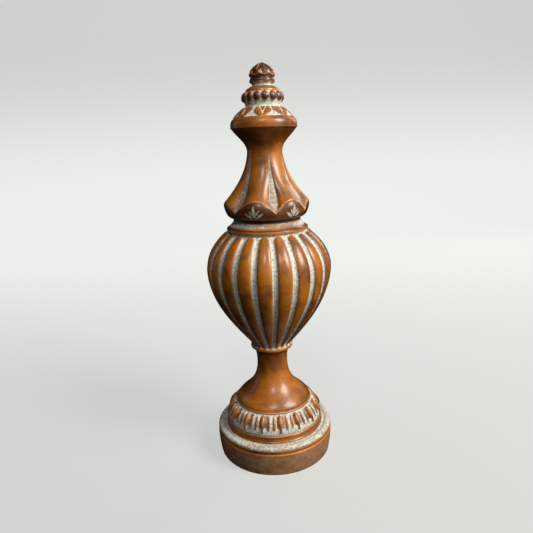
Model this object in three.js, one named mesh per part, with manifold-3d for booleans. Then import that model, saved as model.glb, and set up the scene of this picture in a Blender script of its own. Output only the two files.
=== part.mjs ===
import * as THREE from "three";
import { mergeVertices } from "three/addons/utils/BufferGeometryUtils.js";
import Module from "manifold-3d";

// A roof finial cast in one piece: a moulded round base with a carved band, a stem, a gadrooned urn,
// a collar, a six-panelled skirt, a leafed cap, a ring of beads and a bud. Sizes are in millimetres,
// z is up, and the origin is the centre of the flat underside. Angles start at the front, -Y, and
// turn towards +X. Each stage has its own height, and each stage stands on the one below it.

// Drum and the moulding over it
const drumFootRadius = 64.4;
const drumRadius = 66.6;
const drumHeight = 25.5;
const shoulderRadius = 65.6;
const shoulderTopRadius = 61.4;
const shoulderHeight = 8.3;
const coveFootRadius = 58.4;
const coveRadius = 53.3;
const coveHeight = 5.3;
const lipRadius = 54.9;
const lipThickness = 1.7;

// Sloping band of tongues
const bandHeight = 19.6;
const bandTopRadius = 42.8;
const tongueCount = 16;
const tongueTurn = 7.45;
const tongueDepth = 2.2;

// Domed foot, stem and cup ring
const domeRadius = 43.4;
const domeRimHeight = 2.2;
const footHeight = 46;
const stemRadius = 17.3;
const stemFlareRadius = 19.8;
const stemHeight = 15.4;
const cupRadius = 23.8;
const cupHeight = 5.6;

// Urn
const urnFootRadius = 21.6;
const urnRadius = 68.4;
const urnTopRadius = 42.4;
const bellyHeight = 89.4;
const urnShoulderHeight = 42.2;
const gadroonCount = 20;
const grooveTurn = 4.85;
const gadroonDepth = 3;
const gadroonGrooveShare = 0.32;

// Collar and its neck
const collarRadius = 43.9;
const collarBandHeight = 2.6;
const collarHeight = 13.8;
const collarNeckRadius = 36.2;

// Panelled skirt and the neck over it
const skirtFootRadius = 39.8;
const skirtRadius = 45.9;
const skirtBulgeHeight = 12.6;
const archHeight = 20.6;
const archRadius = 42.6;
const hemCuspHeight = 6.2;
const hemCrestHeight = 16.4;
const hemFrontRise = 3.4;
const skirtFlareRadius = 62.2;
const skirtHeight = 65.7;
const neckRadius = 18.6;
const neckHeight = 24.6;
const panelCount = 6;
const panelGrooveTurn = 12;
const panelDrift = 4.5;
const panelCrowding = 7;
const panelDepthShare = 0.2;
const panelGrooveHalfAngle = 7.6;

// Cap with its leaves
const capEdgeRadius = 34.1;
const capRadius = 34.5;
const capRimHeight = 9.5;
const capRimTopRadius = 32.2;
const capHeight = 19.4;
const capTopRadius = 20;
const leafCount = 8;
const leafTurn = -0.5;
const leafDepth = 1.2;

// Ring of beads and the small dome over it
const scotiaRadius = 17.6;
const scotiaHeight = 5.8;
const beadRingRadius = 19.6;
const beadCount = 15;
const beadTurn = 7.5;
const beadCentreRadius = 18.2;
const beadLength = 10.6;
const beadWidth = 7.1;
const beadLean = 30;
const beadDomeHeight = 16.9;
const waistRadius = 10;

// Bud
const budRadius = 13.4;
const budLipRadius = 12.7;
const budHeight = 22.6;
const petalCount = 6;
const petalTurn = -4;
const petalDepth = 1.3;

// How far a stage runs on inside its wider neighbour, so that the two are one body
const lap = 1;

// Heights of the stages
const lipZ = drumHeight + shoulderHeight + coveHeight;
const bandZ = lipZ + lipThickness;
const domeZ = bandZ + bandHeight;
const stemZ = domeZ + domeRimHeight + footHeight;
const cupZ = stemZ + stemHeight;
const urnZ = cupZ + cupHeight;
const bellyZ = urnZ + bellyHeight;
const collarZ = bellyZ + urnShoulderHeight;
const skirtZ = collarZ + collarHeight;
const neckZ = skirtZ + skirtHeight;
const capZ = neckZ + neckHeight;
const scotiaZ = capZ + capHeight;
const beadZ = scotiaZ + scotiaHeight;
const waistZ = beadZ + beadDomeHeight;

// Outlines: points of radius and height, joined from arcs and curves

const at = (radius, height) => new THREE.Vector2(radius, height);

function bend(from, handle, to, steps) {
  return new THREE.QuadraticBezierCurve(from, handle, to).getPoints(steps);
}

function sweep(from, leave, arrive, to, steps) {
  return new THREE.CubicBezierCurve(from, leave, arrive, to).getPoints(steps);
}

// An outline that runs on without the double point where one stretch ends and the next begins
function outline(...stretches) {
  const points = [];
  for (const point of stretches.flat()) {
    const last = points.at(-1);
    if (!last || last.distanceTo(point) > 1e-6) {
      points.push(point);
    }
  }
  return points;
}

// The radius of an outline at a height, read between its points
function radiusAt(points, height) {
  const above = points.findIndex((point) => point.y >= height);
  if (above <= 0) {
    return points.at(above).x;
  }
  const low = points[above - 1];
  const high = points[above];
  return THREE.MathUtils.lerp(low.x, high.x, (height - low.y) / (high.y - low.y));
}

const smooth = THREE.MathUtils.smoothstep;
const radians = THREE.MathUtils.degToRad;

// How far an angle lies from the nearest of the evenly spaced lines of a pattern, and its sign
function fromNearest(angle, count, turn) {
  const pitch = (2 * Math.PI) / count;
  const steps = (angle - radians(turn)) / pitch;
  return (steps - Math.round(steps)) * pitch;
}

// Solids

const wasm = await Module();
wasm.setup();

function toSolid(geometry) {
  const bare = geometry.clone();
  bare.deleteAttribute("normal");
  bare.deleteAttribute("uv");
  const merged = mergeVertices(bare, 1e-4);
  const vertProperties = new Float32Array(merged.attributes.position.array);
  const index = Array.from(merged.index.array);
  const triVerts = [];
  for (let i = 0; i < index.length; i += 3) {
    const [a, b, c] = index.slice(i, i + 3);
    if (a !== b && b !== c && c !== a) {
      triVerts.push(a, b, c);
    }
  }
  const mesh = new wasm.Mesh({ numProp: 3, vertProperties, triVerts: new Uint32Array(triVerts) });
  return new wasm.Manifold(mesh);
}

// A turned stage, whose first line of points stands at the angle turn, in degrees. carve(row, angle,
// radius, height) moves a point of the outline and gives back what is new of its radius, height and
// angle. The points on the axis stay where they are.
function turned(points, segments, turn = 0, carve = null) {
  const closed = [at(0, points[0].y), ...points, at(0, points.at(-1).y)];
  const geometry = new THREE.LatheGeometry(closed, segments);
  geometry.rotateX(Math.PI / 2);
  if (carve) {
    const position = geometry.attributes.position;
    for (let segment = 0; segment <= segments; segment += 1) {
      const angle = radians(turn) + ((segment % segments) * 2 * Math.PI) / segments;
      for (let row = 0; row < points.length; row += 1) {
        const { x: radius, y: height } = points[row];
        const moved = { radius, height, angle, ...carve(row, angle, radius, height) };
        position.setXYZ(
          segment * closed.length + row + 1,
          moved.radius * Math.sin(moved.angle),
          -moved.radius * Math.cos(moved.angle),
          moved.height,
        );
      }
    }
  }
  return toSolid(geometry);
}

// Drum with a sharp arris, a rolled shoulder, a cove and a thin lip
function baseMoulding() {
  const shoulderZ = drumHeight + shoulderHeight;
  const footChamfer = 0.8;
  const lipInset = 0.5;
  const arrisQuirk = 0.8;
  const rollBulge = 2.4;
  const channelDepth = 1.4;
  const ledge = at(shoulderTopRadius, shoulderZ);
  const channel = at(coveFootRadius, shoulderZ - channelDepth);
  return turned(
    outline(
      [at(drumFootRadius - footChamfer, 0)],
      bend(at(drumFootRadius, footChamfer), at(drumRadius, drumHeight / 2), at(drumRadius, drumHeight), 2),
      [at(drumRadius - arrisQuirk, drumHeight + 0.3)],
      bend(at(shoulderRadius, drumHeight + 1), at(shoulderRadius + rollBulge, shoulderZ), ledge, 3),
      bend(channel, at(coveRadius, channel.y), at(coveRadius, lipZ - 1), 2),
      [at(lipRadius, lipZ), at(lipRadius, lipZ + lipThickness * 0.7), at(lipRadius - lipInset, bandZ)],
    ),
    36,
  );
}

// Sloping band with one large and one thin tongue in each of its parts
function tongueBand() {
  const lipShelf = 0.8;
  const footRadius = lipRadius - lipShelf;
  const partsPerTongue = 4;
  const bulge = at(footRadius - lipShelf, bandZ + bandHeight * 0.7);
  const ovolo = bend(at(footRadius, bandZ), bulge, at(bandTopRadius, domeZ), 4).slice(0, -1);
  const points = [at(footRadius, bandZ - lap), ...ovolo, at(bandTopRadius, domeZ + lap)];
  const carve = (row, angle, radius, height) => {
    if (row === 0 || row === points.length - 1) {
      return { radius, height };
    }
    const run = points[row + 1].clone().sub(points[row - 1]);
    const slope = Math.atan2(-run.x, run.y);
    const offset = Math.abs(fromNearest(angle, tongueCount, tongueTurn)) / (Math.PI / tongueCount);
    const share = (height - bandZ) / bandHeight;
    const along = smooth(share, 0.02, 0.3) * (1 - smooth(share, 0.85, 1));
    const large = 1 - smooth(offset, 0, 0.5);
    const thin = 0.6 * smooth(offset, 0.6, 1);
    const depth = tongueDepth * (1 - Math.max(large, thin)) * along;
    return { radius: radius - depth * Math.cos(slope), height: height - depth * Math.sin(slope) };
  };
  return turned(points, tongueCount * partsPerTongue, tongueTurn, carve);
}

// Domed foot that sweeps up into the stem, and the cup ring that the urn stands in
function stem() {
  const rimZ = domeZ + domeRimHeight;
  const domeDraw = 5.7;
  const domeRise = 12.9;
  const stemReach = 31.4;
  const rim = at(domeRadius - 0.4, rimZ);
  const waist = at(stemRadius, stemZ);
  const leave = at(domeRadius - domeDraw, rimZ + domeRise);
  const arrive = at(stemRadius - 0.3, stemZ - stemReach);
  const cupBulge = at(cupRadius + 1, cupZ + cupHeight / 2);
  return turned(
    outline(
      [at(domeRadius - 0.7, domeZ), at(domeRadius, domeZ + 0.6)],
      sweep(rim, leave, arrive, waist, 7),
      bend(waist, at(stemRadius, stemZ + stemHeight * 0.6), at(stemFlareRadius, cupZ), 2),
      bend(at(cupRadius - 1.4, cupZ + 0.6), cupBulge, at(cupRadius - 1, urnZ), 2),
    ),
    30,
  );
}

// Urn with rounded gadroons that end short of the collar, and flat-floored grooves between them
function urn() {
  const lower = sweep(
    at(urnFootRadius, urnZ),
    at(urnFootRadius + (urnRadius - urnFootRadius) * 0.51, urnZ + bellyHeight * 0.31),
    at(urnRadius, bellyZ - bellyHeight * 0.36),
    at(urnRadius, bellyZ),
    4,
  );
  const upper = sweep(
    at(urnRadius, bellyZ),
    at(urnRadius, bellyZ + urnShoulderHeight * 0.43),
    at(urnTopRadius + (urnRadius - urnTopRadius) * 0.44, bellyZ + urnShoulderHeight * 0.83),
    at(urnTopRadius, collarZ),
    4,
  );
  const points = outline([at(urnFootRadius, urnZ - lap)], lower, upper, [at(urnTopRadius, collarZ + lap)]);
  const places = [-gadroonGrooveShare / 2, gadroonGrooveShare / 2, 0.3, 0.5, 0.7];
  const tipLength = 7;
  const tipGap = 0.9;
  const pitch = (2 * Math.PI) / gadroonCount;
  const carve = (row, angle, radius, height) => {
    const step = Math.round(((angle - radians(grooveTurn)) / pitch) * places.length);
    const place = places[step % places.length];
    const gadroon = Math.floor(step / places.length);
    const acrossCrest = Math.min(Math.abs(place - 0.5) / (0.5 - gadroonGrooveShare / 2), 1);
    const lobe = Math.sqrt(1 - acrossCrest ** 2);
    const fade = smooth(height, urnZ, urnZ + bellyHeight * 0.35) * 0.6 + 0.4;
    const end = 1 - smooth(height, collarZ - tipLength, collarZ - tipGap);
    const depth = gadroonDepth * fade * (1 - lobe * end);
    const inside = height < urnZ || height > collarZ;
    return {
      radius: inside ? radius - gadroonDepth : radius - Math.min(depth, gadroonDepth),
      angle: (gadroon + place) * pitch + radians(grooveTurn),
    };
  };
  return turned(points, gadroonCount * places.length, grooveTurn, carve);
}

// Collar ring with a thin band at its lower edge, and its recessed neck
function collar() {
  const bandTopZ = collarZ + collarBandHeight;
  const bandStep = 0.9;
  const neckLength = 4.6;
  const slopeFoot = at(collarRadius - bandStep, bandTopZ);
  const bulgeInset = 4.4;
  const bulgeRise = 2.6;
  const slopeBulge = at(collarRadius - bulgeInset, bandTopZ + bulgeRise);
  return turned(
    outline(
      [at(collarRadius - 0.8, collarZ), at(collarRadius, collarZ + 0.7), at(collarRadius, bandTopZ - 0.4)],
      bend(slopeFoot, slopeBulge, at(collarNeckRadius, skirtZ - neckLength), 2),
      [at(collarNeckRadius, skirtZ + lap)],
    ),
    32,
  );
}

// Skirt of bulging panels. Its grooves are flat triangles that open below the neck and close at the
// hem. Its flare is cut back from below to a rounded underside, so that each panel ends in an arch
// and each groove in a cusp.
const undersideBulge = at(skirtRadius, skirtZ + skirtBulgeHeight);
const archTop = at(archRadius, skirtZ + archHeight);
const underside = outline(
  bend(at(skirtFootRadius, skirtZ), at(skirtRadius - 1.4, skirtZ + 2.5), undersideBulge, 12),
  bend(undersideBulge, at(skirtRadius, (undersideBulge.y + archTop.y) / 2), archTop, 12),
);
const flareReach = 19.3;
const flare = sweep(
  at(skirtFlareRadius, skirtZ),
  at(skirtFlareRadius - flareReach, skirtZ + skirtHeight * 0.266),
  at(neckRadius + 3, skirtZ + skirtHeight * 0.583),
  at(neckRadius, neckZ),
  24,
);

function panelRadius(angle, height) {
  const share = (height - skirtZ) / skirtHeight;
  const toGroove = Math.abs(fromNearest(angle, panelCount, panelGrooveTurn));
  const opening = smooth(share, 0.06, 0.34) * (1 - smooth(share, 0.3, 1.05));
  const floorHalf = radians(panelGrooveHalfAngle) * opening;
  const across = Math.max(toGroove - floorHalf, 0) / (Math.PI / panelCount - floorHalf);
  const bulge = Math.sin((across * Math.PI) / 2) ** 0.85;
  const depth = panelDepthShare * (1 - smooth(share, 0.2, 0.98));
  return radiusAt(flare, height) * (1 - depth * (1 - bulge));
}

// The hem rises from a cusp at each groove to a round arch, which is a little higher at the front.
function hemHeight(angle) {
  const toGroove = Math.abs(fromNearest(angle, panelCount, panelGrooveTurn)) / (Math.PI / panelCount);
  const front = Math.max(Math.cos(angle - radians(panelGrooveTurn)), 0);
  const arch = Math.sin((toGroove * Math.PI) / 2) ** 0.9;
  return skirtZ + THREE.MathUtils.lerp(hemCuspHeight, hemCrestHeight + hemFrontRise * front, arch);
}

// The panels were set out by eye, so those to the right of the front are narrower than the others.
function byEye(angle) {
  const fromFront = angle - radians(panelGrooveTurn);
  return angle - radians(panelDrift) * Math.sin(fromFront) - radians(panelCrowding) * (1 - Math.cos(fromFront));
}

function skirt() {
  const undersideRows = 3;
  const panelShares = [0, 0.1, 0.24, 0.42, 0.62, 0.82, 1];
  const neckSteps = 4;
  const partsPerPanel = 10;
  const neckSpread = 5.5;
  const neck = sweep(
    at(neckRadius, neckZ),
    at(neckRadius - 1, neckZ + neckHeight * 0.43),
    at(capEdgeRadius - neckSpread, neckZ + neckHeight * 0.67),
    at(capEdgeRadius - 0.3, capZ),
    neckSteps,
  ).slice(1);
  const points = [at(skirtFootRadius, skirtZ)];
  for (let row = 1; row < undersideRows; row += 1) {
    points.push(at(skirtRadius, skirtZ + row));
  }
  for (const share of panelShares) {
    points.push(at(neckRadius, skirtZ + undersideRows + share));
  }
  points.push(...neck, at(capEdgeRadius - 0.3, capZ + lap));
  const carve = (row, angle, radius, height) => {
    if (row === 0 || row >= undersideRows + panelShares.length) {
      return { radius, height };
    }
    const hem = hemHeight(angle);
    const turnedAngle = byEye(angle);
    if (row < undersideRows) {
      const share = row / undersideRows;
      const low = THREE.MathUtils.lerp(skirtZ, hem, share);
      const toHem = panelRadius(angle, hem) - radiusAt(underside, hem);
      return { radius: radiusAt(underside, low) + toHem * share ** 2, height: low, angle: turnedAngle };
    }
    const high = THREE.MathUtils.lerp(hem, neckZ, panelShares[row - undersideRows]);
    return { radius: panelRadius(angle, high), height: high, angle: turnedAngle };
  };
  return turned(points, panelCount * partsPerPanel, panelGrooveTurn, carve);
}

// Cap with a rounded rim and a low dome of leaves that point outward
function cap() {
  const rimZ = capZ + capRimHeight;
  const domeTopZ = capZ + capHeight;
  const bulge = at(capRadius + 0.6, capZ + capRimHeight * 0.7);
  const shoulderReach = 8.5;
  const shoulderDrop = 4.5;
  const shoulder = at(capTopRadius + shoulderReach, domeTopZ - shoulderDrop);
  const points = outline(
    [at(capEdgeRadius, capZ)],
    bend(at(capRadius, capZ + 0.8), bulge, at(capRimTopRadius, rimZ), 3),
    bend(at(capRimTopRadius - 0.6, rimZ + 0.4), shoulder, at(capTopRadius, domeTopZ), 2),
  );
  const partsPerLeaf = 6;
  const carve = (row, angle, radius, height) => {
    const share = (height - rimZ) / (domeTopZ - rimZ);
    if (share <= 0.02) {
      return { radius, height };
    }
    const offset = Math.abs(fromNearest(angle, leafCount, leafTurn)) / (Math.PI / leafCount);
    const leafWidth = 0.85 * Math.sin(Math.PI * Math.min(0.12 + share * 0.75, 0.5));
    const beside = smooth(offset, leafWidth - 0.15, leafWidth + 0.15);
    const sunk = leafDepth * beside * (1 - smooth(share, 0.9, 1));
    return { radius: radius - sunk * 0.6, height: height - sunk * 0.8 };
  };
  return turned(points, leafCount * partsPerLeaf, leafTurn, carve);
}

// Scotia, bead ring and the small dome that carries the bud
function beadStage() {
  const footRadius = scotiaRadius + 1;
  const hollow = at(scotiaRadius - 0.8, scotiaZ + 2);
  const domeFootRadius = beadCentreRadius - 1.4;
  const domeFootZ = beadZ + beadDomeHeight * 0.69;
  const bulgeReach = 4;
  const bulgeRise = 3;
  const domeBulge = at(waistRadius + bulgeReach, domeFootZ + bulgeRise);
  return turned(
    outline(
      [at(footRadius, scotiaZ - lap)],
      bend(at(footRadius, scotiaZ), hollow, at(beadRingRadius - 0.5, beadZ), 2),
      [at(beadRingRadius + 1, beadZ + 1.6), at(beadCentreRadius + 1.2, beadZ + beadLength / 2)],
      bend(at(domeFootRadius, domeFootZ), domeBulge, at(waistRadius, waistZ), 2),
      [at(waistRadius, waistZ + lap)],
    ),
    20,
  );
}

function beads() {
  const centreZ = beadZ + beadLength * 0.53;
  const solids = [];
  for (let i = 0; i < beadCount; i += 1) {
    const bead = new THREE.SphereGeometry(0.5, 8, 4);
    bead.rotateX(Math.PI / 2);
    bead.scale(beadWidth, beadWidth, beadLength);
    bead.rotateX(-radians(beadLean));
    bead.translate(0, -beadCentreRadius, centreZ);
    bead.rotateZ(radians(beadTurn) + (i * 2 * Math.PI) / beadCount);
    solids.push(toSolid(bead));
  }
  return solids;
}

// Closed bud: a flared calyx, a ring of petals that lean together, and a small pointed tip
function bud() {
  const tipRadius = 0.5;
  const pointRadius = budRadius * 0.33;
  const lipZ = waistZ + budHeight * 0.15;
  const fullZ = waistZ + budHeight * 0.42;
  const pointZ = waistZ + budHeight * 0.9;
  const points = outline(
    [at(waistRadius - 0.6, waistZ), at(waistRadius, waistZ + 1), at(budLipRadius, lipZ)],
    [at(budLipRadius - 0.6, lipZ + 1.6)],
    bend(at(budRadius, fullZ - 1.5), at(budRadius, waistZ + budHeight * 0.7), at(pointRadius, pointZ), 4),
    [at(tipRadius, waistZ + budHeight)],
  );
  const partsPerPetal = 5;
  const carve = (row, angle, radius, height) => {
    const share = (height - waistZ) / budHeight;
    const offset = Math.abs(fromNearest(angle, petalCount, petalTurn)) / (Math.PI / petalCount);
    const seam = smooth(offset, 0.3, 1) * smooth(share, 0.1, 0.3) * (1 - smooth(share, 0.8, 1));
    return { radius: radius - (petalDepth * seam * radius) / budRadius };
  };
  return turned(points, petalCount * partsPerPetal, petalTurn, carve);
}

function toGeometry(solid) {
  const mesh = solid.getMesh();
  const geometry = new THREE.BufferGeometry();
  const positions = new Float32Array(mesh.vertProperties);
  geometry.setAttribute("position", new THREE.BufferAttribute(positions, 3));
  geometry.setIndex(new THREE.BufferAttribute(new Uint32Array(mesh.triVerts), 1));
  geometry.computeVertexNormals();
  return geometry;
}

const lowerStages = [baseMoulding(), tongueBand(), stem(), urn(), collar()];
const upperStages = [skirt(), cap(), beadStage(), ...beads(), bud()];
const joined = [...lowerStages, ...upperStages].reduce((whole, stage) => whole.add(stage));

const finial = new THREE.Mesh(
  toGeometry(joined),
  new THREE.MeshStandardMaterial({ name: "lacquered_resin", color: 0x6e3312, roughness: 0.35 }),
);
finial.name = "finial";

const model = new THREE.Group();
model.add(finial);

export default model;
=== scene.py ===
import math

import bpy
import numpy as np
from mathutils import Matrix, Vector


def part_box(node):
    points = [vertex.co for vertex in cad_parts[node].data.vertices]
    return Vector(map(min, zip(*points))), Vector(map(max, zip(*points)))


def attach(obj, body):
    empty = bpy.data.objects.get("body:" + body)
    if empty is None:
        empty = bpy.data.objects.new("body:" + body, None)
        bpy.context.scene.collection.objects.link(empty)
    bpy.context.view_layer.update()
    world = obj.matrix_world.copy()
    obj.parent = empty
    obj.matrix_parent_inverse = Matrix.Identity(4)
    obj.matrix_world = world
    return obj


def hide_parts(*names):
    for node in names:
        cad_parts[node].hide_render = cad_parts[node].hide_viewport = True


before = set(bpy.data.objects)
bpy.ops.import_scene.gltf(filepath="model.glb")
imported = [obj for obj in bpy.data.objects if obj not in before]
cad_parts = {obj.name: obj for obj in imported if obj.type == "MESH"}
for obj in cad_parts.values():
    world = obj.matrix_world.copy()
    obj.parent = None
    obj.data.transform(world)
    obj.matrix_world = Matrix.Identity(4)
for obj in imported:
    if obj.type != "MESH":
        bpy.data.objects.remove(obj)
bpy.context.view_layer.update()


# Drum and base moulding. The finial is one resin casting, lacquered over and rubbed back, and it
# stands on a plain round drum whose side was left matte. Over the drum's arris come a rolled
# shoulder, a ledge and a cove that ends under a thin lip.

node_low, node_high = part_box("finial")
casting_height = 430
mm = (node_high[2] - node_low[2]) / casting_height
rings = []


def line(start, end, steps):
    """Points of radius and height on a straight stretch of an outline, in millimetres."""
    return np.linspace(start, end, steps + 1)


def bend(start, handle, end, steps):
    """Points on a stretch that bends once."""
    t = np.linspace(0, 1, steps + 1)[:, None]
    return (1 - t) ** 2 * np.array(start) + 2 * t * (1 - t) * np.array(handle) + t ** 2 * np.array(end)


def sweep(start, leave, arrive, end, steps):
    """Points on a stretch that may bend twice."""
    t = np.linspace(0, 1, steps + 1)[:, None]
    first = bend(start, leave, arrive, steps)
    second = bend(leave, arrive, end, steps)
    return (1 - t) * first + t * second


def outline(*stretches):
    """One run of points, without the double point where two stretches meet."""
    points = np.vstack(stretches)
    apart = np.linalg.norm(np.diff(points, axis=0), axis=1) > 1e-4
    return points[np.concatenate([[True], apart])]


def ramp(value, low, high):
    """Rises smoothly from 0 at low to 1 at high."""
    t = np.clip((value - low) / (high - low), 0, 1)
    return t * t * (3 - 2 * t)


def dome(across):
    """Height of a round boss or ridge, 1 at its middle and 0 at its edge, where across is 1."""
    return np.sqrt(np.clip(1 - across ** 2, 0, 1))


def spokes(angle, count, turn):
    """Signed distance from the nearest of evenly spaced lines, from -0.5 to 0.5 of their pitch."""
    steps = (angle - math.radians(turn)) * count / (2 * math.pi)
    return steps - np.round(steps)


def lay_ring(angle, radius, height, **marks):
    """Adds one ring of the casting, and how much each mark of the finish shows there: pale wash, rubbed
    edge (wear), bare resin (raw), and darker lacquer together with painted shade, which darkens hollows,
    undersides and the sides turned from the light."""
    full = np.ones_like(angle)
    x = radius * np.sin(angle)
    y = -radius * np.cos(angle)
    ring = {name: marks.get(name, 0) * full for name in ("wash", "wear", "raw", "dark")}
    ring["angle"] = angle
    ring["points"] = np.stack([x, y, height * full], axis=1) * mm
    rings.append(ring)


def lay(points, columns, turn=0.0, carve=None, **plain):
    """Lays a stage of rings along an outline. carve gives the relief (rise) in millimetres, square
    to the outline, and the marks of the finish where they differ from the plain values."""
    step = np.gradient(points, axis=0)
    step /= np.linalg.norm(step, axis=1)[:, None]
    run = np.concatenate([[0], np.cumsum(np.linalg.norm(np.diff(points, axis=0), axis=1))])
    angle = math.radians(turn) + np.linspace(0, 2 * math.pi, columns, endpoint=False)
    grid = np.ones((len(points), columns))
    radius, height = points[:, :1] * grid, points[:, 1:] * grid
    marks = dict(plain)
    if carve:
        marks.update(carve(angle[None, :] * grid, run[:, None] * grid, radius, height))
    rise = marks.pop("rise", 0) * grid
    radius = radius + rise * step[:, 1:]
    height = height - rise * step[:, :1]
    for row in range(len(points)):
        row_marks = {name: (mark * grid)[row] for name, mark in marks.items()}
        lay_ring(angle, radius[row], height[row], **row_marks)


def uneven(angle, height, size, seed):
    """A soft unevenness of a hand-finished face, a few waves that never line up."""
    waves = np.sin(2 * angle + height / 9 + seed) + 0.7 * np.sin(5 * angle - height / 13 + 2.1 * seed)
    return size * (waves + 0.5 * np.sin(9 * angle + height / 5 + 3.7 * seed)) / 2.2


smooth_columns = 160
centre_radius = 8
drum_foot_radius = 64.4
drum_radius = 66.6
drum_height = 25.5
rubbed_bearing = 12
shoulder_radius = 65.6
shoulder_top_radius = 61.4
shoulder_z = drum_height + 8.3
channel_radius = 58.4
channel_z = shoulder_z - 1.4
cove_radius = 53.3
lip_z = shoulder_z + 5.3

underside = line((centre_radius, 0), (drum_foot_radius - 1, 0), 3)
foot_edge = bend((drum_foot_radius - 1, 0), (drum_foot_radius, 0), (drum_foot_radius, 1), 3)
side = bend((drum_foot_radius, 1), (drum_radius, drum_height / 2), (drum_radius, drum_height - 0.5), 12)
arris = bend(
    (drum_radius, drum_height - 0.5),
    (drum_radius, drum_height),
    (drum_radius - 0.7, drum_height + 0.1),
    3,
)
roll = bend(
    (shoulder_radius, drum_height + 0.8),
    (shoulder_radius + 2.4, shoulder_z),
    (shoulder_top_radius, shoulder_z),
    10,
)
channel = line((shoulder_top_radius, shoulder_z), (channel_radius, channel_z), 4)
cove = bend((channel_radius, channel_z), (cove_radius, channel_z - 0.2), (cove_radius, lip_z - 1), 8)


def carve_drum(angle, run, radius, height):
    side_mask = ramp(height, 0, 0.6) * (1 - ramp(height, drum_height - 1.6, drum_height - 0.4))
    edge = ramp(height, drum_height - 0.9, drum_height - 0.4)
    broken = 0.65 + 0.35 * np.sin(9 * angle) * np.sin(23 * angle + 1)
    in_front = ramp(np.cos(angle - math.radians(rubbed_bearing)), 0.6, 0.95)
    return {
        "rise": uneven(angle, height, 0.12, 1.0) * side_mask,
        "raw": 1 - ramp(height, drum_height - 1.0, drum_height - 0.3),
        "wear": edge * (0.12 + 0.62 * in_front * broken),
    }


def carve_shoulder(angle, run, radius, height):
    on_top = ramp(height, shoulder_z - 2.2, shoulder_z - 1.2)
    over_edge = ramp(radius, shoulder_top_radius - 1.0, shoulder_top_radius + 2.2)
    ledge = ramp(radius, cove_radius + 2.1, cove_radius + 3.9) * (1 - 0.72 * over_edge) * on_top
    on_roll = ramp(radius, shoulder_top_radius - 0.4, shoulder_top_radius + 0.6)
    haze = 0.6 * on_roll * ramp(height, drum_height + 0.5, shoulder_z - 1)
    in_cove = 1 - ramp(radius, cove_radius + 2.3, cove_radius + 4.3)
    return {
        "rise": uneven(angle, height, 0.15, 2.0),
        "wash": np.maximum(ledge, haze),
        # Painted shade in the cove under the lip; the roll is a little darker outside the ledge.
        "dark": 0.42 * in_cove + 0.12 * (haze > 0) * (1 - ledge),
    }


lay(outline(underside, foot_edge, side, arris), smooth_columns, carve=carve_drum)
lay(outline(roll, channel, cove), smooth_columns, carve=carve_shoulder)


# Band of tongues. A sloping band runs round between the lip and the domed foot. Each of its parts
# has one large tongue in a hollow and a thin leaf on each side of it, and the wash fills the rest.

lip_radius = 54.9
band_z = lip_z + 1.7
band_height = 19.6
band_foot_radius = lip_radius - 0.8
band_top_radius = 42.8
tongue_count = 16
tongue_turn = 7.45
tongue_rise = 2.4
leaf_rise = 1.5
leaf_place = 0.355

lip = outline(
    line((cove_radius, lip_z - 1), (lip_radius - 0.5, lip_z), 1),
    bend((lip_radius - 0.5, lip_z), (lip_radius + 0.3, lip_z + 0.3), (lip_radius, lip_z + 1.2), 4),
    line((lip_radius, lip_z + 1.2), (band_foot_radius, band_z), 1),
)
band = bend(
    (band_foot_radius, band_z),
    (band_foot_radius - 0.8, band_z + 0.7 * band_height),
    (band_top_radius, band_z + band_height),
    29,
)


def carve_band(angle, run, radius, height):
    """Each tongue swells from a thin tail to a round head, and a thin leaf stands beside its hollow."""
    share = run / run.max()
    place = spokes(angle, tongue_count, tongue_turn)
    swell = ramp(share, 0.26, 0.7) * dome(np.clip((share - 0.7) / 0.24, 0, 1))
    tail = ramp(share, 0.1, 0.2) * (1 - ramp(share, 0.5, 0.8))
    tongue_half = 0.135 * swell + 0.055 * tail
    tongue = dome(place / np.maximum(tongue_half, 0.004)) * ramp(tongue_half, 0.004, 0.05)
    leaf_half = 0.072 * ramp(share, 0.14, 0.45) * dome(np.clip((share - 0.55) / 0.36, 0, 1))
    from_leaf = np.abs(place) - leaf_place
    leaf = dome(from_leaf / np.maximum(leaf_half, 0.004)) * ramp(leaf_half, 0.004, 0.04)
    hollow = (1 - ramp(np.abs(place), 0.2, 0.29)) * ramp(share, 0.22, 0.4) * (1 - ramp(share, 0.88, 0.95))
    carved = np.maximum(tongue, leaf)
    foot_dip = 0.8 * (1 - ramp(share, 0, 0.06))
    rise = tongue * tongue_rise + leaf * leaf_rise - 0.9 * hollow * (1 - tongue) - foot_dip
    wash = 1 - 1.15 * ramp(carved, 0.12, 0.5) - 0.62 * hollow
    wear = ramp(tongue, 0.6, 1) * ramp(share, 0.4, 0.6) + 0.35 * ramp(leaf, 0.7, 1)
    shadow = hollow * (1 - ramp(carved, 0.1, 0.6)) + 0.8 * tongue * (1 - ramp(share, 0.2, 0.5))
    return {
        "rise": rise,
        "wash": np.clip(wash, 0, 1) * ramp(share, -0.02, 0.03),
        "wear": 0.7 * wear,
        "dark": 0.62 * shadow + 0.25 * leaf,
    }


lay(lip[:-1], smooth_columns, wear=0.9)
lay(band, tongue_count * 27, tongue_turn, carve_band)


# Domed foot and stem. The smooth glossy foot has a thin rim and sweeps up into the stem, which
# flares under the small cup ring that carries the urn. Round the cup's ledge the wash sits in a
# row of dots, one under each groove of the urn.

dome_z = band_z + band_height
dome_radius = 43.4
rim_z = dome_z + 2.2
stem_z = rim_z + 46
stem_radius = 17.3
cup_z = stem_z + 15.4
cup_foot_radius = 19.8
cup_radius = 23.8
urn_z = cup_z + 5.6
urn_foot_radius = 21.6
dot_count = 20
dot_turn = 4.85

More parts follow.
